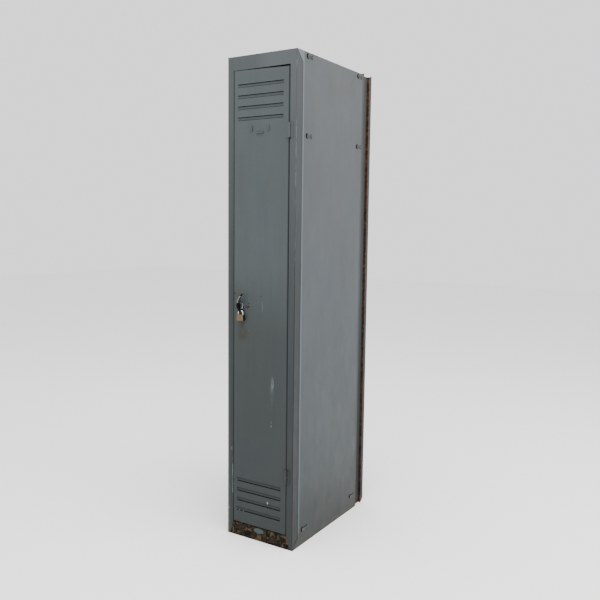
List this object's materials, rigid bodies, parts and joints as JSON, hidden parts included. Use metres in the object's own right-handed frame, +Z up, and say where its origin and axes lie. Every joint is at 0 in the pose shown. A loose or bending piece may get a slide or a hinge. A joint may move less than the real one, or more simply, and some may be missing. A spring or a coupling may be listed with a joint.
{
  "type": "locker cabinet",
  "caption": "Tall narrow single-door steel locker with louvred door, turn latch and padlock, hat shelf, coat hooks and two open channels standing off its back.",
  "frame": {"origin": "on the floor in the plane of the front frame, midway across the cabinet", "axes": "+X to the viewer's right when facing the door, +Y towards the back, +Z up"},
  "size_m": [0.3102, 0.6023, 1.836],
  "materials": {
    "frame_enamel": "worn satin grey enamel on folded sheet steel",
    "door_enamel": "worn satin grey enamel on folded sheet steel",
    "panel_enamel": "satin grey enamel, lighter than the frame",
    "rusted_enamel": "rust through flaking grey enamel",
    "channel_steel": "dull grey paint with rust inside",
    "clip_steel": "painted with the panel, rusty at the slots",
    "rivet_steel": "dull",
    "zinc_steel": "dull zinc plate",
    "latch_steel": "worn plated steel, dark in the corners",
    "shackle_steel": "polished plated steel",
    "padlock_brass": "dull brushed brass",
    "buffer_rubber": "matt"
  },
  "bodies": {
    "carcass": {"front_post_left": "frame_enamel", "front_post_right": "frame_enamel", "front_top_rail": "frame_enamel", "kick_rail": "rusted_enamel", "side_panel_left": "panel_enamel", "side_panel_right": "panel_enamel", "back_panel": "panel_enamel", "roof_panel": "panel_enamel", "hat_shelf": "panel_enamel", "floor_panel": "panel_enamel", "rear_channel_left": "channel_steel", "rear_channel_right": "channel_steel", "side_clips_left": "clip_steel", "side_clips_right": "clip_steel", "back_rivets": "rivet_steel", "strike_plate": "zinc_steel", "door_buffers": "buffer_rubber", "hinge_upper_frame_leaf": "frame_enamel", "hinge_lower_frame_leaf": "frame_enamel", "hinge_upper_pin": "zinc_steel", "hinge_lower_pin": "zinc_steel", "coat_hook_left": "zinc_steel", "coat_hook_right": "zinc_steel", "coat_hook_middle": "zinc_steel"},
    "door": {"door_skin": "door_enamel", "door_stiffener": "door_enamel", "latch_bush": "latch_steel", "latch_bush_nut": "zinc_steel", "door_stud": "rusted_enamel", "hinge_upper_door_leaf": "frame_enamel", "hinge_lower_door_leaf": "frame_enamel"},
    "latch": {"latch_lever": "latch_steel", "latch_spindle": "latch_steel", "latch_cam": "zinc_steel", "latch_cam_nut": "zinc_steel"},
    "shackle": {"padlock_shackle": "shackle_steel"},
    "padlock": {"padlock_body": "padlock_brass"},
    "key_plug": {"padlock_plug": "padlock_brass"}
  },
  "joints": [
    {"name": "door_hinge", "type": "hinge", "parent": "carcass", "child": "door", "pos_m": [0.12325, -0.0042, 0], "axis": [0, 0, 1], "range_deg": [0, 165]},
    {"name": "latch_turn", "type": "hinge", "parent": "door", "child": "latch", "pos_m": [-0.092, 0, 0.911], "axis": [0, 1, 0], "range_deg": [0, 90]},
    {"name": "padlock_swing", "type": "hinge", "parent": "latch", "child": "shackle", "pos_m": [-0.084, -0.009, 0.8947], "axis": [1, 0, 0], "range_deg": [-50, 4]},
    {"name": "padlock_draw", "type": "slide", "parent": "shackle", "child": "padlock", "axis": [0, 0, -1], "range_m": [0, 0.007]},
    {"name": "key_turn", "type": "hinge", "parent": "padlock", "child": "key_plug", "pos_m": [-0.084, -0.009, 0.856], "axis": [0, 0, 1], "range_deg": [0, 90]}
  ]
}
